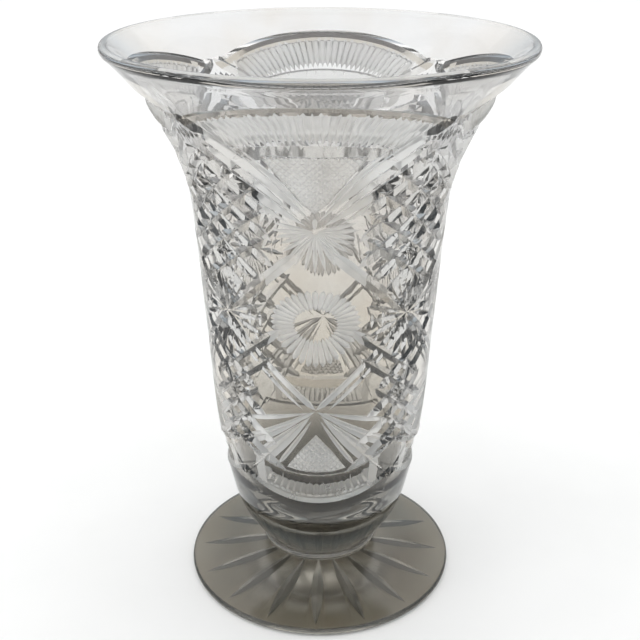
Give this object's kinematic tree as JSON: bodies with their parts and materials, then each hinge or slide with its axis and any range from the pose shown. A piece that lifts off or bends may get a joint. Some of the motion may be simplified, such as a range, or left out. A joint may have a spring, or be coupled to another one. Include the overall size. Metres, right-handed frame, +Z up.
{
  "type": "footed vase",
  "caption": "Clear cut-crystal vase with a flared bowl on a round foot, joined by a collar; star-cut underside.",
  "frame": {"origin": "centre of the resting face on the foot's underside", "axes": "+Z up along the vase's axis, out of its mouth; -Y towards the middle of one cut panel"},
  "size_m": [0.177, 0.177, 0.254],
  "materials": {
    "bowl_crystal": "clear polished lead crystal, wheel cut",
    "collar_crystal": "clear fire-polished lead crystal",
    "foot_crystal": "clear polished lead crystal with a cut star beneath"
  },
  "bodies": {
    "root": {"foot": "foot_crystal", "collar": "collar_crystal", "bowl": "bowl_crystal"}
  },
  "joints": []
}
